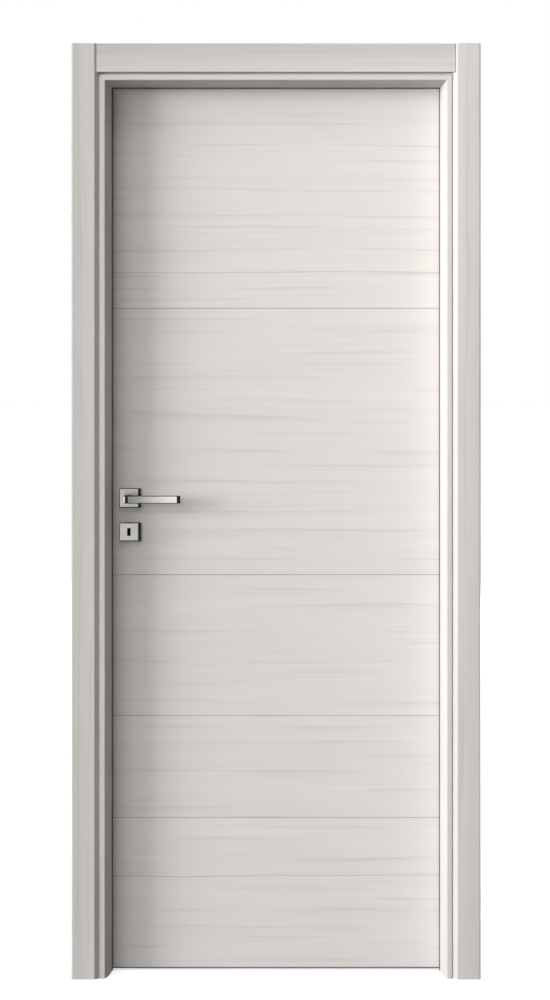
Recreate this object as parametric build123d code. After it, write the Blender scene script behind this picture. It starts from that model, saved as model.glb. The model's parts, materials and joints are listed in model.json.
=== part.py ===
from build123d import *
from math import asin, cos, sin
import os

# Interior door set: a rebated frame with casings on both wall faces, and a flush leaf with a lever handle.
# Sizes in mm. It is drawn about the doorway's centre line at floor level, with Y running from the front
# edge of the jambs into the wall, and moved at the end so that the origin lies on the hinge jamb's wall face.

# Doorway and jamb section
OPENING_W = 800.0
OPENING_H = 2100.0
WALL_T = 100.0
FRONT_STEP = 7.0
BACK_STEP = 4.0
STRIP_W = 13.3
STRIP_ROUND = 4.0
EDGE_ROUND = 1.5
JAMB_T = 30.0
REVEAL_BOW = 12.0
STOP_BACK = 62.0
REBATE_OUT = 8.0
BACK_STRIP_W = 10.0

HALF = OPENING_W / 2
WALL_FACE = HALF + JAMB_T
STOP_EDGE = HALF - REVEAL_BOW
REBATE = HALF + REBATE_OUT
JAMB_DEPTH = WALL_T + FRONT_STEP + BACK_STEP
JAMB_MID = JAMB_DEPTH / 2

# Casings
CASING_OUT = 478.0
CASING_JOINT = 0.2
BACK_JOINT = 3.0
CASING_FRONT_IN = HALF + STRIP_W + CASING_JOINT
CASING_BACK_IN = REBATE + BACK_STRIP_W + BACK_JOINT
CASING_PROUD = 6.0
CASING_SUNK = 2.5
CASING_BEVEL = 10.5
CASING_ROUND = 4.0
CASING_BACK_PROUD = 12.0
CASING_BACK_ROUND = 5.0
HEAD_TOP = 2185.0
HEAD_RISE = 4.5
HEAD_PROUD = 4.5
HEAD_BACK_PROUD = 10.0
HEAD_BEVEL = 1.0
HEAD_ROUND = 2.0
HEAD_LAP = 5.0
BUTT_GAP = 0.3

# Seal on the back of the stop
SEAL_SHOW = 2.2
SEAL_T = 4.5
SEAL_W = 12.0
SEAL_BARB_W = 3.0
SEAL_BARB_D = 6.0
SEAL_BARB_IN = 6.2
SEAL_ROUND = 1.2

# Leaf
LEAF_HALF = 402.0
LEAF_BOTTOM = 7.0
LEAF_TOP = 2102.0
LEAF_FRONT = 67.0
LEAF_BACK = JAMB_DEPTH
LEAF_MID = (LEAF_FRONT + LEAF_BACK) / 2
SKIN_T = 4.0
SKIN_EASE = 0.8
GROOVE_HEIGHTS = (361.0, 602.5, 936.0, 1566.0)
GROOVE_DEPTH = 1.0
LOCK_STILE_W = 100.0
HINGE_STILE_W = 60.0
RAIL_H = 80.0

# Lock and handle set
SPINDLE_X = -347.5
SPINDLE_Z = 1118.0
KEY_Z = 1038.0
SPINDLE = 8.0
SPINDLE_REACH = 59.0
SPINDLE_BORE = 20.0
KEY_SLOT_W = 8.2
KEY_SLOT_H = 18.6
KEY_CLEAR_W = 13.0
KEY_CLEAR_H = 25.0
BASE_W = 50.0
BASE_SHIFT = 2.4
BASE_T = 7.0
FACE_W = 43.4
FACE_T = 2.0
ROSE_BASE_H = 45.0
ROSE_FACE_H = 42.0
KEY_BASE_H = 43.4
KEY_FACE_H = 40.4
FACE_EASE = 0.6
COLLAR_D = 18.0
COLLAR_PLAY = 0.3
COLLAR_IN = 3.0
COLLAR_CLEAR = 0.5
NECK = 17.0
NECK_GAP = 6.0
NECK_IN = 1.0
LEVER_OUT = 58.0
LEVER_T = 8.5
LEVER_H = 17.6
LEVER_BACK_END = -9.6
LEVER_TIP = 123.4
LEVER_ROUND = 3.0
LEVER_EASE = 0.8
PLATE_T = 1.5
PLATE_H = 14.6
PLATE_START = 1.0
PLATE_END = 115.4
SLIVER_W = 3.4

# Mortice lock and strike
LOCK_LOW = 985.0
LOCK_HIGH = 1165.0
LOCK_DEPTH = 86.0
LOCK_T = 16.0
LOCK_PLAY = 0.5
LOCK_WEB = 2.0
FOREND_LOW = 960.0
FOREND_HIGH = 1190.0
FOREND_W = 20.0
FOREND_T = 3.0
LATCH_W = 12.0
LATCH_H = 22.0
BOLT_W = 8.0
BOLT_H = 34.0
STRIKE_T = 2.0
STRIKE_POCKET = 14.0
POCKET_PLAY_W = 1.5
POCKET_PLAY_H = 1.0

# Lift-off hinges
HINGE_HEIGHTS = {"lower": 250.0, "middle": 1050.0, "upper": 1850.0}
HINGE_U = (LEAF_HALF + REBATE) / 2
HINGE_OUT = 9.5
HINGE_V = LEAF_BACK + HINGE_OUT
BARREL_R = 7.0
BARREL_H = 45.0
BARREL_EASE = 1.5
BARREL_GAP = 0.5
PIN_R = 3.0
PIN_PLAY = 0.1
PIN_H = 34.0
PIN_TOP_PLAY = 1.0
FLAP_T = 2.5
FLAP_DEPTH = 28.0

# How far a cutting block stands out of what it cuts
CUT_OVER = 5.0

UP = (0, 0, 1)
LEAF_MIRROR = Plane(origin=(0, LEAF_MID, 0), z_dir=(0, 1, 0))


def box(x0, x1, y0, y1, z0, z1):
    """A block between opposite corners."""
    return Pos((x0 + x1) / 2, (y0 + y1) / 2, (z0 + z1) / 2) * Box(x1 - x0, y1 - y0, z1 - z0)


def rod(radius, y0, y1, x, z):
    """A round bar along Y."""
    return Pos(x, (y0 + y1) / 2, z) * Rot(90, 0, 0) * Cylinder(radius, y1 - y0)


def post(radius, x, y, z0, z1):
    """A round bar along Z."""
    return Pos(x, y, (z0 + z1) / 2) * Cylinder(radius, z1 - z0)


def head_plane(x):
    """The plane that stands a section up on the head: its x runs up from the doorway's top corner."""
    return Plane(origin=(x, 0, OPENING_H - HALF), x_dir=(0, 0, 1), z_dir=(-1, 0, 0))


def mitred_set(section):
    """The hinge side, lock side and head members of one section, mitred in the doorway's top corners."""
    right_cut = Plane(origin=(HALF, 0, OPENING_H), z_dir=(-1, 0, 1))
    left_cut = Plane(origin=(-HALF, 0, OPENING_H), z_dir=(1, 0, 1))
    side = extrude(section, OPENING_H + JAMB_T, dir=UP)
    side = split(side, bisect_by=right_cut, keep=Keep.BOTTOM)
    head = extrude(head_plane(WALL_FACE) * section, 2 * WALL_FACE, dir=(-1, 0, 0))
    head = split(head, bisect_by=right_cut, keep=Keep.TOP)
    head = split(head, bisect_by=left_cut, keep=Keep.TOP)
    return side, mirror(side, about=Plane.YZ), head


def reveal_section():
    """The front board: a flat strip, a bowed reveal ending in the stop, and the groove for the seal."""
    radius = (STOP_BACK**2 + REVEAL_BOW**2) / (2 * REVEAL_BOW)
    turn = asin(STOP_BACK / radius) / 2
    middle = (STOP_EDGE + radius * (1 - cos(turn)), STOP_BACK - radius * sin(turn))
    barb_in = STOP_EDGE + SEAL_BARB_IN - SEAL_SHOW
    bow = ThreePointArc((STOP_EDGE, STOP_BACK), middle, (HALF, 0))
    rest = Polyline(
        (HALF, 0),
        (HALF + STRIP_W, 0),
        (HALF + STRIP_W, FRONT_STEP),
        (WALL_FACE, FRONT_STEP),
        (WALL_FACE, STOP_BACK),
        (barb_in + SEAL_BARB_W, STOP_BACK),
        (barb_in + SEAL_BARB_W, STOP_BACK - SEAL_BARB_D),
        (barb_in, STOP_BACK - SEAL_BARB_D),
        (barb_in, STOP_BACK),
        (STOP_EDGE, STOP_BACK),
    )
    section = make_face([bow, rest])
    section = fillet(section.vertices().sort_by_distance((HALF, 0, 0))[0], EDGE_ROUND)
    return fillet(section.vertices().sort_by_distance((HALF + STRIP_W, 0, 0))[0], STRIP_ROUND)


def jamb_section():
    """The board behind the stop, which holds the leaf's edge, with a strip and a seat for the back casing."""
    seat = JAMB_DEPTH - BACK_STEP
    strip_end = REBATE + BACK_STRIP_W
    outline = Polyline(
        (REBATE, STOP_BACK),
        (WALL_FACE, STOP_BACK),
        (WALL_FACE, seat),
        (strip_end, seat),
        (strip_end, JAMB_DEPTH),
        (REBATE, JAMB_DEPTH),
        close=True,
    )
    section = make_face(outline)
    return fillet(section.vertices().sort_by_distance((REBATE, JAMB_DEPTH, 0))[0], EDGE_ROUND)


def seal_section():
    """A flat bulb on the back of the stop that shows past its edge, with a barb pressed into the stop."""
    nose = STOP_EDGE - SEAL_SHOW
    barb_in = STOP_EDGE + SEAL_BARB_IN - SEAL_SHOW
    outline = Polyline(
        (nose, STOP_BACK),
        (barb_in, STOP_BACK),
        (barb_in, STOP_BACK - SEAL_BARB_D),
        (barb_in + SEAL_BARB_W, STOP_BACK - SEAL_BARB_D),
        (barb_in + SEAL_BARB_W, STOP_BACK),
        (nose + SEAL_W, STOP_BACK),
        (nose + SEAL_W, STOP_BACK + SEAL_T),
        (nose, STOP_BACK + SEAL_T),
        close=True,
    )
    section = make_face(outline)
    tips = section.vertices().group_by(Axis.X)[0]
    return fillet(tips, SEAL_ROUND)


def front_casing_section():
    """A flat board whose inner edge is a bevel that starts below the jamb's strip, with a rounded outer edge."""
    inner = CASING_FRONT_IN
    outline = Polyline(
        (inner, FRONT_STEP),
        (inner, CASING_SUNK),
        (inner + CASING_BEVEL, -CASING_PROUD),
        (CASING_OUT, -CASING_PROUD),
        (CASING_OUT, FRONT_STEP),
        close=True,
    )
    section = make_face(outline)
    outer = section.vertices().sort_by_distance((CASING_OUT, -CASING_PROUD, 0))[0]
    return fillet(outer, CASING_ROUND)


def back_casing_section():
    """A plain board with rounded edges on the far wall face."""
    seat = JAMB_DEPTH - BACK_STEP
    front = JAMB_DEPTH + CASING_BACK_PROUD
    outline = Polyline(
        (CASING_BACK_IN, seat),
        (CASING_OUT, seat),
        (CASING_OUT, front),
        (CASING_BACK_IN, front),
        close=True,
    )
    section = make_face(outline)
    return fillet(section.vertices().group_by(Axis.Y)[-1], CASING_BACK_ROUND)


def head_casing(reach, low, seat, face):
    """The board between the side casings, with its reach to either side and its lower edge in section x."""
    out = 1 if face > seat else -1
    top = HEAD_TOP - OPENING_H + HALF
    outline = Polyline(
        (low, seat),
        (low, face - out * HEAD_BEVEL),
        (low + HEAD_BEVEL, face),
        (top, face),
        (top, seat),
        close=True,
    )
    section = make_face(outline)
    crest = section.vertices().sort_by_distance((top, face, 0))[0]
    section = fillet(crest, HEAD_ROUND)
    return extrude(head_plane(reach) * section, 2 * reach, dir=(-1, 0, 0))


def key_slot(width, height, y0, y1):
    """A block that cuts a keyhole."""
    half_w = width / 2
    half_h = height / 2
    return box(SPINDLE_X - half_w, SPINDLE_X + half_w, y0, y1, KEY_Z - half_h, KEY_Z + half_h)


def leaf_skin():
    """The front face board: eased edges, fine horizontal grooves, and holes for the spindle and the key."""
    board = box(-LEAF_HALF, LEAF_HALF, LEAF_FRONT, LEAF_FRONT + SKIN_T, LEAF_BOTTOM, LEAF_TOP)
    board = chamfer(board.faces().sort_by(Axis.Y)[0].edges(), SKIN_EASE)
    side = GROOVE_DEPTH * 2**0.5
    for height in GROOVE_HEIGHTS:
        board -= Pos(0, LEAF_FRONT, height) * Rot(45, 0, 0) * Box(2 * (LEAF_HALF + CUT_OVER), side, side)
    through = (LEAF_FRONT - CUT_OVER, LEAF_FRONT + SKIN_T + CUT_OVER)
    board -= rod(SPINDLE_BORE / 2, *through, SPINDLE_X, SPINDLE_Z)
    return board - key_slot(KEY_CLEAR_W, KEY_CLEAR_H, *through)


def handle_plate(x, width, height, y0, y1, z):
    """A square-cornered plate of the handle set, eased round its front."""
    plate = box(x - width / 2, x + width / 2, y0, y1, z - height / 2, z + height / 2)
    return chamfer(plate.faces().sort_by(Axis.Y)[0].edges(), FACE_EASE)


def rose_set():
    """Base and face of the lever's rose and of the key escutcheon. The bases show past the faces' right edge."""
    base_x = SPINDLE_X + BASE_SHIFT
    base_front = LEAF_FRONT - BASE_T
    face_front = base_front - FACE_T
    through = (face_front - CUT_OVER, LEAF_FRONT + CUT_OVER)
    bore = rod(COLLAR_D / 2 + COLLAR_PLAY, *through, SPINDLE_X, SPINDLE_Z)
    slot = key_slot(KEY_SLOT_W, KEY_SLOT_H, *through)
    rose_base = handle_plate(base_x, BASE_W, ROSE_BASE_H, base_front, LEAF_FRONT, SPINDLE_Z) - bore
    rose_face = handle_plate(SPINDLE_X, FACE_W, ROSE_FACE_H, face_front, base_front, SPINDLE_Z) - bore
    key_base = handle_plate(base_x, BASE_W, KEY_BASE_H, base_front, LEAF_FRONT, KEY_Z) - slot
    key_face = handle_plate(SPINDLE_X, FACE_W, KEY_FACE_H, face_front, base_front, KEY_Z) - slot
    return rose_base, rose_face, key_base, key_face


def lever():
    """Core and face plates of the front lever: a flat bar on a square neck, with a collar in the rose."""
    bar_front = LEAF_FRONT - LEVER_OUT + PLATE_T
    bar_back = bar_front + LEVER_T
    low = SPINDLE_Z - LEVER_H / 2
    high = SPINDLE_Z + LEVER_H / 2
    bar = box(SPINDLE_X + LEVER_BACK_END, SPINDLE_X + LEVER_TIP, bar_front, bar_back, low, high)
    ends = bar.edges().filter_by(Axis.Z).group_by(Axis.X)[-1]
    bar = fillet(ends, LEVER_ROUND)
    bar = chamfer(bar.faces().sort_by(Axis.Y)[0].edges().filter_by(Axis.X), LEVER_EASE)
    half = NECK / 2
    neck_end = LEAF_FRONT - BASE_T - FACE_T - NECK_GAP
    core = bar + box(
        SPINDLE_X - half, SPINDLE_X + half, bar_back - NECK_IN, neck_end, SPINDLE_Z - half, SPINDLE_Z + half
    )
    core += rod(COLLAR_D / 2, neck_end - COLLAR_IN, LEAF_FRONT - COLLAR_CLEAR, SPINDLE_X, SPINDLE_Z)
    core -= spindle()
    plate_low = SPINDLE_Z - PLATE_H / 2
    plate_high = SPINDLE_Z + PLATE_H / 2
    plate_y = (bar_front - PLATE_T, bar_front)
    grip = box(SPINDLE_X + PLATE_START, SPINDLE_X + PLATE_END, *plate_y, plate_low, plate_high)
    sliver_x = SPINDLE_X + LEVER_BACK_END
    sliver = box(sliver_x, sliver_x + SLIVER_W, *plate_y, plate_low, plate_high)
    faces = [chamfer(plate.faces().sort_by(Axis.Y)[0].edges(), FACE_EASE) for plate in (grip, sliver)]
    return core, Compound(children=faces)


def spindle():
    """The square bar that joins the two levers."""
    half = SPINDLE / 2
    y0 = LEAF_MID - SPINDLE_REACH
    y1 = LEAF_MID + SPINDLE_REACH
    return box(SPINDLE_X - half, SPINDLE_X + half, y0, y1, SPINDLE_Z - half, SPINDLE_Z + half)


def lock_block(x0, x1, width, z0, z1):
    """A block of the lock, centred in the leaf's thickness."""
    return box(x0, x1, LEAF_MID - width / 2, LEAF_MID + width / 2, z0, z1)


def lock_set():
    """Case, forend, latch and dead bolt of the mortice lock, with both bolts drawn back flush.

    The case's levers close the keyhole halfway, so it is blind from either side.
    """
    edge = -LEAF_HALF
    seat = edge + FOREND_T
    case = lock_block(seat, seat + LOCK_DEPTH, LOCK_T, LOCK_LOW, LOCK_HIGH)
    case -= rod(SPINDLE, LEAF_FRONT, LEAF_BACK, SPINDLE_X, SPINDLE_Z)
    case -= key_slot(KEY_SLOT_W, KEY_SLOT_H, LEAF_FRONT, LEAF_MID - LOCK_WEB / 2)
    case -= key_slot(KEY_SLOT_W, KEY_SLOT_H, LEAF_MID + LOCK_WEB / 2, LEAF_BACK)
    forend = lock_block(edge, seat, FOREND_W, FOREND_LOW, FOREND_HIGH)
    latch = lock_block(edge, seat, LATCH_W, SPINDLE_Z - LATCH_H / 2, SPINDLE_Z + LATCH_H / 2)
    bolt = lock_block(edge, seat, BOLT_W, KEY_Z - BOLT_H / 2, KEY_Z + BOLT_H / 2)
    return case, forend - latch - bolt, latch, bolt


def lock_mortice():
    """What the lock block loses to the lock: its pocket, the forend's seat and the two ways through."""
    edge = -LEAF_HALF
    pocket_end = edge + FOREND_T + LOCK_DEPTH + LOCK_PLAY
    cut = lock_block(
        edge, pocket_end, LOCK_T + 2 * LOCK_PLAY, LOCK_LOW - LOCK_PLAY, LOCK_HIGH + LOCK_PLAY
    )
    cut += lock_block(edge, edge + FOREND_T, FOREND_W, FOREND_LOW, FOREND_HIGH)
    cut += rod(SPINDLE_BORE / 2, LEAF_FRONT, LEAF_BACK, SPINDLE_X, SPINDLE_Z)
    return cut + key_slot(KEY_CLEAR_W, KEY_CLEAR_H, LEAF_FRONT, LEAF_BACK)


def strike_set():
    """The strike plate on the lock jamb, and the cut that seats it with a pocket for each bolt."""
    plate = lock_block(-REBATE - STRIKE_T, -REBATE, FOREND_W, FOREND_LOW, FOREND_HIGH)
    x0 = -REBATE - STRIKE_POCKET
    latch_half = LATCH_H / 2 + POCKET_PLAY_H
    bolt_half = BOLT_H / 2 + POCKET_PLAY_H
    latch_w = LATCH_W + 2 * POCKET_PLAY_W
    bolt_w = BOLT_W + 2 * POCKET_PLAY_W
    pockets = lock_block(x0, -REBATE, latch_w, SPINDLE_Z - latch_half, SPINDLE_Z + latch_half)
    pockets += lock_block(x0, -REBATE, bolt_w, KEY_Z - bolt_half, KEY_Z + bolt_half)
    return plate - pockets, plate + pockets


def hinge_flap(x0, z0, z1):
    """A flat flap of a hinge, let into an edge and running back to the barrel."""
    return box(x0, x0 + FLAP_T, LEAF_BACK - FLAP_DEPTH, HINGE_V, z0, z1)


def hinge_halves(height):
    """The frame half with its pin and the leaf half that drops onto it, and the seats they are let into."""
    low = height - BARREL_H
    high = height + BARREL_H
    frame_barrel = post(BARREL_R, HINGE_U, HINGE_V, low, height - BARREL_GAP)
    frame_barrel = chamfer(frame_barrel.edges().group_by(Axis.Z)[0], BARREL_EASE)
    frame_flap = hinge_flap(REBATE, low, height - BARREL_GAP)
    pin = post(PIN_R, HINGE_U, HINGE_V, height - BARREL_GAP, height + PIN_H)
    leaf_barrel = post(BARREL_R, HINGE_U, HINGE_V, height + BARREL_GAP, high)
    leaf_barrel = chamfer(leaf_barrel.edges().group_by(Axis.Z)[-1], BARREL_EASE)
    leaf_flap = hinge_flap(LEAF_HALF - FLAP_T, height + BARREL_GAP, high)
    bore = post(PIN_R + PIN_PLAY, HINGE_U, HINGE_V, height, height + PIN_H + PIN_TOP_PLAY)
    return frame_barrel + frame_flap + pin, leaf_barrel + leaf_flap - bore, frame_flap, leaf_flap


nodes = {}

nodes["hinge_reveal"], nodes["lock_reveal"], nodes["head_reveal"] = mitred_set(reveal_section())
hinge_jamb, lock_jamb, nodes["head_jamb"] = mitred_set(jamb_section())
hinge_side, lock_side, head = mitred_set(seal_section())
nodes["stop_seal"] = hinge_side + head + lock_side

front_side = extrude(front_casing_section(), HEAD_TOP, dir=UP)
nodes["hinge_side_casing"] = front_side
nodes["lock_side_casing"] = mirror(front_side, about=Plane.YZ)
head_low = HALF + STRIP_W + HEAD_RISE
head_front = head_casing(CASING_FRONT_IN + HEAD_LAP, head_low, FRONT_STEP, -HEAD_PROUD)
scribe = Pos(-BUTT_GAP, 0, 0) * front_side
nodes["head_casing"] = head_front - scribe - mirror(scribe, about=Plane.YZ)

back_side = extrude(back_casing_section(), HEAD_TOP, dir=UP)
nodes["hinge_side_back_casing"] = back_side
nodes["lock_side_back_casing"] = mirror(back_side, about=Plane.YZ)
back_seat = JAMB_DEPTH - BACK_STEP
back_face = JAMB_DEPTH + HEAD_BACK_PROUD
nodes["head_back_casing"] = head_casing(CASING_BACK_IN - BUTT_GAP, CASING_BACK_IN, back_seat, back_face)

core_y = (LEAF_FRONT + SKIN_T, LEAF_BACK - SKIN_T)
lock_in = -LEAF_HALF + LOCK_STILE_W
hinge_in = LEAF_HALF - HINGE_STILE_W
nodes["leaf_front_skin"] = leaf_skin()
back_skin = mirror(nodes["leaf_front_skin"], about=LEAF_MIRROR)
lower_stile = box(-LEAF_HALF, lock_in, *core_y, LEAF_BOTTOM, FOREND_LOW)
upper_stile = box(-LEAF_HALF, lock_in, *core_y, FOREND_HIGH, LEAF_TOP)
nodes["leaf_lock_stile"] = Compound(children=[lower_stile, upper_stile])
nodes["leaf_lock_block"] = box(-LEAF_HALF, lock_in, *core_y, FOREND_LOW, FOREND_HIGH) - lock_mortice()
hinge_stile = box(hinge_in, LEAF_HALF, *core_y, LEAF_BOTTOM, LEAF_TOP)
nodes["leaf_top_rail"] = box(lock_in, hinge_in, *core_y, LEAF_TOP - RAIL_H, LEAF_TOP)
nodes["leaf_bottom_rail"] = box(lock_in, hinge_in, *core_y, LEAF_BOTTOM, LEAF_BOTTOM + RAIL_H)

nodes["lock_case"], nodes["lock_forend"], nodes["latch_bolt"], nodes["dead_bolt"] = lock_set()
nodes["strike_plate"], strike_cut = strike_set()
lock_jamb -= strike_cut

for place, height in HINGE_HEIGHTS.items():
    frame_half, leaf_half, frame_seat, leaf_seat = hinge_halves(height)
    nodes[f"{place}_hinge_frame_half"] = frame_half
    nodes[f"{place}_hinge_leaf_half"] = leaf_half
    hinge_jamb -= frame_seat
    hinge_stile -= leaf_seat
    back_skin -= leaf_seat
nodes["hinge_jamb"] = hinge_jamb
nodes["lock_jamb"] = lock_jamb
nodes["leaf_hinge_stile"] = hinge_stile
nodes["leaf_back_skin"] = back_skin

for name, plate in zip(("rose_base", "rose_face", "key_base", "key_face"), rose_set()):
    nodes[f"front_{name}"] = plate
    nodes[f"back_{name}"] = mirror(plate, about=LEAF_MIRROR)
for name, piece in zip(("lever_core", "lever_face"), lever()):
    nodes[f"front_{name}"] = piece
    nodes[f"back_{name}"] = mirror(piece, about=LEAF_MIRROR)
nodes["spindle"] = spindle()

os.makedirs("parts", exist_ok=True)
for name, piece in nodes.items():
    export_step(Pos(-WALL_FACE, -JAMB_MID, 0) * piece, f"parts/{name}.step")
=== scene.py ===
import json
import math

import bmesh
import bpy
from mathutils import Matrix, Vector


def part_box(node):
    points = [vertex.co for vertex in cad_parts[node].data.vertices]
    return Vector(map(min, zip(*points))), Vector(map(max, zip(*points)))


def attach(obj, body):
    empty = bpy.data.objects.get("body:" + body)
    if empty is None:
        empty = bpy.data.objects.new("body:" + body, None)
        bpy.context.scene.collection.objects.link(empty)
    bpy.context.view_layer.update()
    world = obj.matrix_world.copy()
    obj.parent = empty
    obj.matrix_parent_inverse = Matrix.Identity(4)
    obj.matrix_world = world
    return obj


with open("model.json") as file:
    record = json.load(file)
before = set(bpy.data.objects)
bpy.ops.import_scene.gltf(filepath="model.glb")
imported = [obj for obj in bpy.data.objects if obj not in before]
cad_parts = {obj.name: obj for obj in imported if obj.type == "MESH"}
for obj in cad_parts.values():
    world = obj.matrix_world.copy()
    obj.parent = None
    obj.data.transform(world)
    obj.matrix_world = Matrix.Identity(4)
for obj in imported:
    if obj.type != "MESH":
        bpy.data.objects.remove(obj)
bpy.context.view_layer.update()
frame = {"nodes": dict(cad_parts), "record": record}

RECORD_SLOTS = {part["node"]: part["material_slot"] for part in frame["record"]["subparts"]}

# Places read from the frame, in metres
LEAF_LOW, LEAF_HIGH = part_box("leaf_front_skin")
LEAF_MID_Y = (LEAF_LOW.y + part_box("leaf_back_skin")[1].y) / 2
STRIP_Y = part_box("hinge_reveal")[0].y
DOOR_X = (LEAF_LOW.x + LEAF_HIGH.x) / 2
CASING_LOW, CASING_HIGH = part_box("hinge_side_casing")
HEAD_LOW, HEAD_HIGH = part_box("head_casing")
LEVER_LOW, LEVER_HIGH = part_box("front_lever_face")
FOREND_LOW, FOREND_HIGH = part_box("lock_forend")
STRIKE_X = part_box("strike_plate")[1].x
HINGE_JAMB_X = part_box("hinge_jamb")[0].x
SPINDLE_MID = sum(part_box("spindle"), Vector()) / 2

# Camera: its distance from the frame's front strip, its eye level and what one photograph height spans there
CAMERA_BACK = 5.09
CAMERA_SIDE = -0.0023
EYE_LEVEL = 1.56
VIEW_HEIGHT = 2.336
VIEW_SHIFT = -0.189
SENSOR = 36.0

# Light: each sun's direction, strength and width, and each lamp's place, aim, power and size
SUNS = {
    "key": (Vector((-2.25, -1.0, 0.325)), 3.36, math.radians(24)),
    "side": (Vector((-0.60, -1.0, 0.325)), 1.47, math.radians(48)),
    "top": (Vector((-0.09, -1.0, 2.2)), 1.3, math.radians(40)),
}
LAMPS = {
    "panel": (Vector((-1.3, -3.8, 2.4)), Vector((-0.33, -3.9, 2.65)), 150.0, 1.2),
    "back": (Vector((0.4, 6.5, 3.2)), Vector((-0.43, 0.0, 1.0)), 520.0, 4.0),
    "right": (Vector((5.0, 1.8, 1.9)), Vector((0.0, 0.0, 1.05)), 230.0, 2.0),
}
FLOOR_HALF = 30.0
FLOOR_BOUNCE = 0.13
FLOOR_SEEN = 0.6
FLOOR_GLOW = 0.63

# Finishes, as linear colour, and the share of the tone left at the casings' outer edges by painted shade
LEAF_TONE = (0.672, 0.644, 0.624)
FRAME_TONE = (0.583, 0.559, 0.539)
EDGE_TONE = (0.57, 0.546, 0.525)
SEAL_TONE = (0.12, 0.114, 0.109)
NICKEL_TONE = (0.385, 0.377, 0.366)
# The black is a real coating, made dark enough to be painted shade on the sides of the parts it covers as
# well
BLACK_AND_PAINTED_SHADE_TONE = (0.008, 0.0075, 0.007)
STEEL_TONE = (0.50, 0.49, 0.475)
SIDE_PAINTED_SHADE = 0.90
HEAD_PAINTED_SHADE = 0.85

# Grain: the heights and half widths of grooves and veins, how dark they are, and how far the grain strays;
# the grooves' darkness is painted shade in their V-joints
GROOVES = (0.361, 0.6025, 0.936, 1.566)
GROOVE_HALF = 0.0016
GROOVE_PAINTED_SHADE = 0.62
VEINS = (0.223, 1.651)
VEIN_HALF = 0.0022
VEIN_SHADE = 0.76
BOARD_STEP = 2.37
WANDER = 0.014
RIPPLE = 0.009
RINGS = 30.0
RING_DRIFT = 5.0
RING_EDGE = 8.0
GRAIN_DEPTH = 0.0001

# Lever plates: a painted highlight on the sliver at the bend, and the tone of a painted reflection at each
# end of the rest
SLIVER_END = LEVER_LOW.x + 0.005
SLIVER_SOFT = 0.001
SLIVER_PAINTED_HIGHLIGHT = 3.2
LEVER_PAINTED_REFLECTION = (0.50, 1.55)

# Screws, and the seal under the leaf, whose dark rubber also stands in for the shade in the gap there
SCREW_R = 0.0038
SCREW_CROWN = 0.82
SCREW_RISE = 0.0006
CROSS_ARM = 0.0024
CROSS_HALF = 0.00055
CROSS_DEPTH = 0.0011
CROSS_FLOOR = 0.7
GRUB_R = 0.0022
GRUB_SOCKET = 0.55
GRUB_OUT = 0.0535
NECK_HALF = 0.0085
SCREW_IN = 0.011
HINGE_SCREW_BACK = 0.014
BOTTOM_SEAL_DROP = 0.003
BOTTOM_SEAL_IN = 0.002
BOTTOM_SEAL_W = 0.024
BOTTOM_SEAL_LIP = 0.001
BOTTOM_SEAL_END = 0.003
ROUND_STEPS = 24


class Graph:
    """A material's nodes, with short ways to add one and wire it up."""

    def __init__(self, name):
        self.material = bpy.data.materials.new(name)
        self.material.use_nodes = True
        self.tree = self.material.node_tree
        self.shader = self.tree.nodes["Principled BSDF"]
        self.place = self.add("ShaderNodeTexCoord").outputs["Object"]

    def add(self, kind, **settings):
        node = self.tree.nodes.new(kind)
        for key, value in settings.items():
            setattr(node, key, value)
        return node

    def feed(self, socket, value):
        if isinstance(value, bpy.types.NodeSocket):
            self.tree.links.new(value, socket)
        else:
            socket.default_value = value

    def math(self, operation, a, b=0.0, c=0.0):
        node = self.add("ShaderNodeMath", operation=operation)
        for socket, value in zip(node.inputs, (a, b, c)):
            self.feed(socket, value)
        return node.outputs[0]

    def axes(self, vector, order):
        """The vector's parts in another order, as along, across and through the grain."""
        parts = self.add("ShaderNodeSeparateXYZ")
        self.feed(parts.inputs[0], vector)
        return [parts.outputs["XYZ".index(letter)] for letter in order]

    def vector(self, x, y, z):
        node = self.add("ShaderNodeCombineXYZ")
        for socket, value in zip(node.inputs, (x, y, z)):
            self.feed(socket, value)
        return node.outputs[0]

    def noise(self, vector, scale, detail=2.0, roughness=0.5):
        stretch = self.add("ShaderNodeVectorMath", operation="MULTIPLY")
        self.feed(stretch.inputs[0], vector)
        self.feed(stretch.inputs[1], scale)
        node = self.add("ShaderNodeTexNoise")
        self.feed(node.inputs["Vector"], stretch.outputs[0])
        self.feed(node.inputs["Scale"], 1.0)
        self.feed(node.inputs["Detail"], detail)
        self.feed(node.inputs["Roughness"], roughness)
        return node.outputs["Fac"]

    def span(self, value, low, high, to_low=0.0, to_high=1.0):
        node = self.add("ShaderNodeMapRange", interpolation_type="SMOOTHSTEP")
        for socket, number in zip(node.inputs, (value, low, high, to_low, to_high)):
            self.feed(socket, number)
        return node.outputs[0]

    def sum(self, *terms):
        """The sum of several values, each a pair of a value and what one unit of it adds."""
        total = 0.0
        for value, weight in terms:
            total = self.math("MULTIPLY_ADD", value, weight, total)
        return total

    def tint(self, colour, tone):
        """A colour times a tone, both of which may vary."""
        node = self.add("ShaderNodeVectorMath", operation="SCALE")
        self.feed(node.inputs[0], colour)
        self.feed(node.inputs["Scale"], tone)
        return node.outputs[0]

    def blend(self, share, first, second):
        node = self.add("ShaderNodeMix", data_type="RGBA")
        self.feed(node.inputs["Factor"], share)
        self.feed(node.inputs[6], (*first, 1.0))
        self.feed(node.inputs[7], (*second, 1.0))
        return node.outputs[2]

    def bump(self, height, depth):
        node = self.add("ShaderNodeBump")
        node.inputs["Strength"].default_value = 1.0
        node.inputs["Distance"].default_value = depth
        self.feed(node.inputs["Height"], height)
        self.feed(self.shader.inputs["Normal"], node.outputs[0])

    def set(self, **values):
        for name, value in values.items():
            self.feed(self.shader.inputs[name.replace("_", " ")], value)


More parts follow.
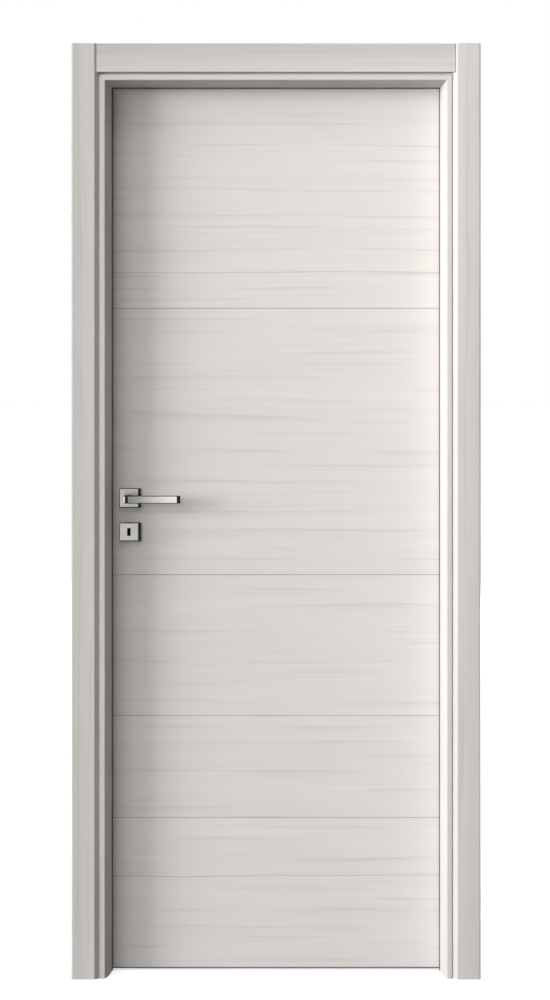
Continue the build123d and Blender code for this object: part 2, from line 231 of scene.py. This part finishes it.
def laminate(name, tone, order, boards=(), veins=(), painted_shade=None):
    """A wood-look laminate with its grain along the first axis of order.

    Boards are the heights of the grooves that cut it, and each stretch between them has its own grain.
    Veins are the heights of dark lines along its whole length. A painted shade darkens the tone away from a
    centre, as shade painted into the colour; it gives an axis order, a centre, a near and a far distance from
    it, and the share of the tone that is left far out.
    """
    graph = Graph(name)
    along, height, through = graph.axes(graph.place, order)
    board = 0.0
    for groove in boards:
        board = graph.math("ADD", graph.math("GREATER_THAN", height, groove), board)
    along = graph.math("MULTIPLY_ADD", board, BOARD_STEP, along)
    place = graph.vector(along, height, through)
    wander = graph.noise(place, (0.7, 2.5, 2.0), 1.0)
    ripple = graph.noise(place, (4.0, 9.0, 4.0), 1.0)
    across = graph.sum((wander, WANDER), (ripple, RIPPLE), (height, 1.0))
    grain = graph.vector(along, across, through)
    bands = graph.noise(grain, (0.9, 20.0, 3.0), 2.0)
    streaks = graph.noise(grain, (3.2, 110.0, 9.0), 5.0, 0.6)
    fibres = graph.noise(grain, (14.0, 850.0, 90.0), 3.0, 0.6)
    drift = graph.noise(grain, (0.15, 7.0, 2.0), 1.0)
    ring = graph.math("FRACT", graph.sum((across, RINGS), (drift, RING_DRIFT)))
    late = graph.math("POWER", ring, RING_EDGE)
    patch = graph.span(graph.noise(grain, (2.6, 26.0, 3.0), 1.0), 0.42, 0.62)
    lines = graph.math("MULTIPLY", late, patch)
    shade = graph.sum((bands, 0.10), (streaks, 0.15), (fibres, 0.05), (lines, -0.13))
    shade = graph.math("ADD", shade, 0.86)
    for vein in veins:
        gap = graph.math("ABSOLUTE", graph.math("SUBTRACT", across, vein + (WANDER + RIPPLE) / 2))
        shade = graph.math("MULTIPLY", shade, graph.span(gap, 0.0, VEIN_HALF, VEIN_SHADE, 1.0))
    # Painted shade: the colour darkens along each groove, where the V-joint holds shade.
    for groove in boards:
        gap = graph.math("ABSOLUTE", graph.math("SUBTRACT", height, groove))
        shade = graph.math("MULTIPLY", shade, graph.span(gap, 0.0, GROOVE_HALF, GROOVE_PAINTED_SHADE, 1.0))
    # Painted shade: the tone darkens away from the centre along one axis, standing in for light that falls
    # off there.
    if painted_shade:
        axis, centre, near, far, share = painted_shade
        distance = graph.math("ABSOLUTE", graph.math("SUBTRACT", graph.axes(graph.place, axis)[0], centre))
        shade = graph.math("MULTIPLY", shade, graph.span(distance, near, far, 1.0, share))
    warm = graph.blend(patch, tone, (tone[0], tone[1] * 0.996, tone[2] * 0.985))
    graph.set(
        Base_Color=graph.tint(warm, shade),
        Roughness=graph.span(graph.sum((streaks, 0.5), (fibres, 0.5)), 0.3, 0.7, 0.66, 0.52),
        Specular_IOR_Level=0.16,
    )
    graph.bump(graph.sum((streaks, 0.4), (fibres, 0.6), (lines, -0.5)), GRAIN_DEPTH)
    return graph.material


def edge_band():
    """The band that closes the leaf's edges."""
    graph = Graph("edge_band")
    grain = graph.vector(*graph.axes(graph.place, "ZXY"))
    streaks = graph.noise(grain, (1.2, 160.0, 160.0), 4.0, 0.6)
    fibres = graph.noise(grain, (12.0, 900.0, 900.0), 2.0)
    shade = graph.sum((streaks, 0.16), (fibres, 0.08))
    graph.set(
        Base_Color=graph.tint(EDGE_TONE, graph.math("ADD", shade, 0.88)),
        Roughness=graph.span(fibres, 0.3, 0.7, 0.64, 0.54),
        Specular_IOR_Level=0.2,
    )
    graph.bump(graph.sum((streaks, 0.5), (fibres, 0.5)), GRAIN_DEPTH)
    return graph.material


def rubber():
    """The seals' matt rubber, with a faint bloom."""
    graph = Graph("seal_rubber")
    bloom = graph.noise(graph.place, (60.0, 60.0, 12.0), 4.0, 0.6)
    pores = graph.noise(graph.place, (1500.0, 1500.0, 1500.0), 2.0)
    graph.set(
        Base_Color=graph.tint(SEAL_TONE, graph.span(bloom, 0.3, 0.7, 0.88, 1.1)),
        Roughness=graph.span(bloom, 0.3, 0.7, 0.76, 0.9),
        Specular_IOR_Level=0.15,
    )
    graph.bump(pores, 0.00004)
    return graph.material


def brushed(name, tone, order, roughness, painted_ramps=()):
    """Satin metal brushed along the first axis of order. Each ramp along X multiplies its tone, painting
    light and reflection into the colour.
    """
    graph = Graph(name)
    grain = graph.vector(*graph.axes(graph.place, order))
    scratches = graph.noise(grain, (45.0, 5200.0, 2600.0), 3.0, 0.65)
    smudge = graph.noise(graph.place, (55.0, 55.0, 55.0), 3.0, 0.55)
    shade = graph.math("ADD", graph.sum((scratches, 0.16), (smudge, 0.10)), 0.87)
    # Painted light: each ramp brightens or darkens the tone along X.
    for ramp in painted_ramps:
        x = graph.axes(graph.place, "XYZ")[0]
        shade = graph.math("MULTIPLY", shade, graph.span(x, *ramp))
    graph.set(
        Base_Color=graph.tint(tone, shade),
        Metallic=1.0,
        Roughness=graph.math("MULTIPLY_ADD", smudge, 0.12, roughness - 0.06),
    )
    graph.bump(scratches, 0.000012)
    return graph.material


def satin_black():
    """Black coating with a faint orange peel and paler rubbed places, its tone so dark that it also stands in
    for the shade on the sides of the parts it covers.
    """
    graph = Graph("satin_black")
    peel = graph.noise(graph.place, (900.0, 900.0, 900.0), 2.0)
    rub = graph.noise(graph.place, (70.0, 70.0, 70.0), 4.0, 0.6)
    graph.set(
        Base_Color=graph.tint(BLACK_AND_PAINTED_SHADE_TONE, graph.span(rub, 0.35, 0.75, 0.8, 1.7)),
        Roughness=graph.span(rub, 0.3, 0.7, 0.52, 0.42),
        Specular_IOR_Level=0.14,
    )
    graph.bump(peel, 0.00002)
    return graph.material


def dress(finishes):
    """Gives each node the finish of its own name, or else of its slot."""
    for name, node in frame["nodes"].items():
        finish = finishes.get(name) or finishes[RECORD_SLOTS[name]]
        node.data.materials.clear()
        node.data.materials.append(finish)


def add_piece(name, shape, body, finish):
    """Turns a bmesh into a piece that rides on a body, and frees the bmesh."""
    bmesh.ops.recalc_face_normals(shape, faces=shape.faces)
    mesh = bpy.data.meshes.new(name)
    shape.to_mesh(mesh)
    shape.free()
    mesh.materials.append(finish)
    piece = bpy.data.objects.new(name, mesh)
    bpy.context.scene.collection.objects.link(piece)
    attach(piece, body)


def facing(place, outward):
    """A frame at a place, with its Z axis pointing outward."""
    return Matrix.Translation(place) @ Vector(outward).to_track_quat("Z", "Y").to_matrix().to_4x4()


def ring(shape, seat, radius, height):
    """A ring of points at a height along the seat's Z axis."""
    points = []
    for step in range(ROUND_STEPS):
        turn = 2 * math.pi * step / ROUND_STEPS
        place = Vector((radius * math.cos(turn), radius * math.sin(turn), height))
        points.append(shape.verts.new(seat @ place))
    return points


def join_rings(shape, lower, upper):
    for step in range(len(lower)):
        shape.faces.new((lower[step - 1], lower[step], upper[step], upper[step - 1]))


def cross(shape, seat, share, height):
    """The twelve corners of a cross recess at a height along the seat's Z axis."""
    corners = []
    for quarter in range(4):
        turn = Matrix.Rotation(quarter * math.pi / 2, 2)
        for corner in ((CROSS_ARM, -CROSS_HALF), (CROSS_ARM, CROSS_HALF), (CROSS_HALF, CROSS_HALF)):
            corners.append(shape.verts.new(seat @ Vector((*(turn @ Vector(corner) * share), height))))
    return corners


def add_screw(shape, place, outward):
    """A countersunk screw's head: a low dome with a cross recess."""
    seat = facing(place, outward)
    foot = ring(shape, seat, SCREW_R, -SCREW_RISE)
    rim = ring(shape, seat, SCREW_R, 0.0)
    crown = ring(shape, seat, SCREW_R * SCREW_CROWN, SCREW_RISE)
    mouth = cross(shape, seat, 1.0, SCREW_RISE)
    floor = cross(shape, seat, CROSS_FLOOR, SCREW_RISE - CROSS_DEPTH)
    for lower, upper in ((foot, rim), (rim, crown), (mouth, floor)):
        join_rings(shape, lower, upper)
    pairs = [(loop[step - 1], loop[step]) for loop in (crown, mouth) for step in range(len(loop))]
    bmesh.ops.triangle_fill(shape, edges=[shape.edges.get(pair) for pair in pairs], use_beauty=True)
    shape.faces.new(floor)
    shape.faces.new(foot)


def add_grub(shape, place, outward):
    """A grub screw's end with a round socket."""
    seat = facing(place, outward)
    foot = ring(shape, seat, GRUB_R, -SCREW_RISE)
    rim = ring(shape, seat, GRUB_R, SCREW_RISE / 2)
    mouth = ring(shape, seat, GRUB_R * GRUB_SOCKET, SCREW_RISE / 2)
    floor = ring(shape, seat, GRUB_R * GRUB_SOCKET, -SCREW_RISE / 2)
    for lower, upper in ((foot, rim), (rim, mouth), (mouth, floor)):
        join_rings(shape, lower, upper)
    shape.faces.new(floor)
    shape.faces.new(foot)


def add_screws(hinge_finish, lock_finish):
    """Screws of the forend, the strike and the hinge flaps, and a grub screw under each lever's neck."""
    leaf_screws = bmesh.new()
    frame_screws = bmesh.new()
    lever_screws = bmesh.new()
    for height in (FOREND_LOW.z + SCREW_IN, FOREND_HIGH.z - SCREW_IN):
        add_screw(leaf_screws, (FOREND_LOW.x, LEAF_MID_Y, height), (-1, 0, 0))
        add_screw(frame_screws, (STRIKE_X, LEAF_MID_Y, height), (1, 0, 0))
    for place in ("upper", "middle", "lower"):
        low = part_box(f"{place}_hinge_frame_half")[0]
        mid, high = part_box(f"{place}_hinge_leaf_half")
        y = low.y + HINGE_SCREW_BACK
        for height in (low.z + SCREW_IN, mid.z - SCREW_IN):
            add_screw(frame_screws, (HINGE_JAMB_X, y, height), (-1, 0, 0))
        for height in (mid.z + SCREW_IN, high.z - SCREW_IN):
            add_screw(leaf_screws, (LEAF_HIGH.x, y, height), (1, 0, 0))
    for side in (-1, 1):
        under_neck = SPINDLE_MID + Vector((0, side * GRUB_OUT, -NECK_HALF))
        add_grub(lever_screws, under_neck, (0, 0, -1))
    add_piece("leaf_screws", leaf_screws, "leaf", hinge_finish)
    add_piece("frame_screws", frame_screws, "frame", hinge_finish)
    add_piece("lever_screws", lever_screws, "lever_set", lock_finish)


def add_bottom_seal_and_gap_shade(finish):
    """The rubber fin under the leaf, with eased lips. Its dark line also stands in for the shade in the gap
    under the leaf.
    """
    profile = [
        (0.0, 0.0),
        (0.0, BOTTOM_SEAL_LIP - BOTTOM_SEAL_DROP),
        (BOTTOM_SEAL_LIP, -BOTTOM_SEAL_DROP),
        (BOTTOM_SEAL_W - BOTTOM_SEAL_LIP, -BOTTOM_SEAL_DROP),
        (BOTTOM_SEAL_W, BOTTOM_SEAL_LIP - BOTTOM_SEAL_DROP),
        (BOTTOM_SEAL_W, 0.0),
    ]
    shape = bmesh.new()
    ends = []
    front = LEAF_LOW.y + BOTTOM_SEAL_IN
    for x in (LEAF_LOW.x + BOTTOM_SEAL_END, LEAF_HIGH.x - BOTTOM_SEAL_END):
        ends.append([shape.verts.new((x, front + y, LEAF_LOW.z + z)) for y, z in profile])
    join_rings(shape, *ends)
    for end in ends:
        shape.faces.new(end)
    add_piece("bottom_seal_and_gap_shade", shape, "leaf", finish)


def lamp(name, kind, strength, **settings):
    data = bpy.data.lights.new(name, kind)
    data.energy = strength
    for key, value in settings.items():
        setattr(data, key, value)
    holder = bpy.data.objects.new(name, data)
    bpy.context.scene.collection.objects.link(holder)
    holder.visible_camera = False
    return holder


def point_at(holder, place, aim):
    holder.location = place
    holder.rotation_euler = (aim - place).to_track_quat("-Z", "Y").to_euler()


def add_lights():
    """A wide key far round on the left, softer light nearer the front and from above, a panel turned past the
    door so that its light falls off to the left and downwards, and lamps for the far side and the right side.
    """
    for name, (place, strength, width) in SUNS.items():
        sun = lamp(name, "SUN", strength, angle=width)
        point_at(sun, place, Vector((0, 0, 0)))
    for name, (place, aim, power, size) in LAMPS.items():
        panel = lamp(name, "AREA", power, shape="SQUARE", size=size)
        point_at(panel, place, aim)


def seen_rays(tree):
    """One where a camera, glossy or transmission ray arrives, and zero for the light that falls on things."""
    path = tree.nodes.new("ShaderNodeLightPath")
    total = path.outputs["Is Camera Ray"]
    for name in ("Is Glossy Ray", "Is Transmission Ray"):
        add = tree.nodes.new("ShaderNodeMath")
        add.operation = "MAXIMUM"
        tree.links.new(total, add.inputs[0])
        tree.links.new(path.outputs[name], add.inputs[1])
        total = add.outputs[0]
    return total


def add_world():
    """White where it is seen, and no light of its own on things."""
    world = bpy.data.worlds.new("studio")
    world.use_nodes = True
    bpy.context.scene.world = world
    tree = world.node_tree
    background = tree.nodes["Background"]
    background.inputs["Color"].default_value = (1.0, 1.0, 1.0, 1.0)
    tree.links.new(seen_rays(tree), background.inputs["Strength"])


def add_floor():
    """A pale floor that the lamps lift to white, and that throws little light back on the door."""
    mesh = bpy.data.meshes.new("floor")
    corners = [(x * FLOOR_HALF, y * FLOOR_HALF, 0.0) for x, y in ((-1, -1), (1, -1), (1, 1), (-1, 1))]
    mesh.from_pydata(corners, [], [(0, 1, 2, 3)])
    floor = bpy.data.objects.new("floor", mesh)
    bpy.context.scene.collection.objects.link(floor)
    graph = Graph("studio_floor")
    seen = seen_rays(graph.tree)
    speckle = graph.span(graph.noise(graph.place, (40.0, 40.0, 40.0), 3.0), 0.3, 0.7, 0.98, 1.02)
    tone = graph.math("MULTIPLY", speckle, graph.span(seen, 0.0, 1.0, FLOOR_BOUNCE, FLOOR_SEEN))
    graph.set(
        Base_Color=graph.vector(tone, tone, tone),
        Roughness=0.9,
        Specular_IOR_Level=0.0,
        Emission_Color=(1.0, 1.0, 1.0, 1.0),
        Emission_Strength=graph.math("MULTIPLY", seen, FLOOR_GLOW),
    )
    mesh.materials.append(graph.material)


def add_camera():
    data = bpy.data.cameras.new("camera")
    data.sensor_width = SENSOR
    data.lens = SENSOR * CAMERA_BACK / VIEW_HEIGHT
    data.shift_y = VIEW_SHIFT
    data.clip_end = 100.0
    camera = bpy.data.objects.new("camera", data)
    camera.location = (DOOR_X + CAMERA_SIDE, STRIP_Y - CAMERA_BACK, EYE_LEVEL)
    camera.rotation_euler = (math.pi / 2, 0.0, 0.0)
    bpy.context.scene.collection.objects.link(camera)
    bpy.context.scene.camera = camera


# The casings and the head are painted darker towards their outer edges: painted shade, not a tone of the
# laminate.
side_painted_shade = ("XYZ", DOOR_X, CASING_LOW.x - DOOR_X, CASING_HIGH.x - DOOR_X, SIDE_PAINTED_SHADE)
head_painted_shade = ("ZXY", 0.0, HEAD_LOW.z, HEAD_HIGH.z, HEAD_PAINTED_SHADE)
# Painted light on the lever plates: a ramp from dark at the neck to bright at the tip is a painted
# reflection, and the sliver at the bend gets a painted highlight.
lever_painted_light = (
    (SLIVER_END, LEVER_HIGH.x, *LEVER_PAINTED_REFLECTION),
    (SLIVER_END, SLIVER_END + SLIVER_SOFT, SLIVER_PAINTED_HIGHLIGHT, 1.0),
)
head_laminate = laminate("frame_laminate_head", FRAME_TONE, "XZY", painted_shade=head_painted_shade)
painted_lever_finish = brushed("lever_nickel_painted_light", NICKEL_TONE, "XZY", 0.32, lever_painted_light)
finishes = {
    "frame_laminate": laminate("frame_laminate_upright", FRAME_TONE, "ZXY", painted_shade=side_painted_shade),
    "leaf_laminate": laminate("leaf_laminate", LEAF_TONE, "XZY", GROOVES, VEINS),
    "core_timber": edge_band(),
    "seal_rubber": rubber(),
    "satin_nickel": brushed("satin_nickel", NICKEL_TONE, "ZXY", 0.34),
    "black_metal": satin_black(),
    "lock_steel": brushed("lock_steel", STEEL_TONE, "ZYX", 0.36),
    "hinge_steel": brushed("hinge_steel", STEEL_TONE, "ZYX", 0.33),
    "front_lever_face": painted_lever_finish,
    "back_lever_face": painted_lever_finish,
}
for head_node in ("head_reveal", "head_jamb", "head_casing", "head_back_casing"):
    finishes[head_node] = head_laminate
dress(finishes)
add_screws(finishes["hinge_steel"], finishes["lock_steel"])
add_bottom_seal_and_gap_shade(finishes["seal_rubber"])

bpy.context.scene.view_settings.view_transform = "Standard"
add_lights()
add_world()
add_floor()
add_camera()
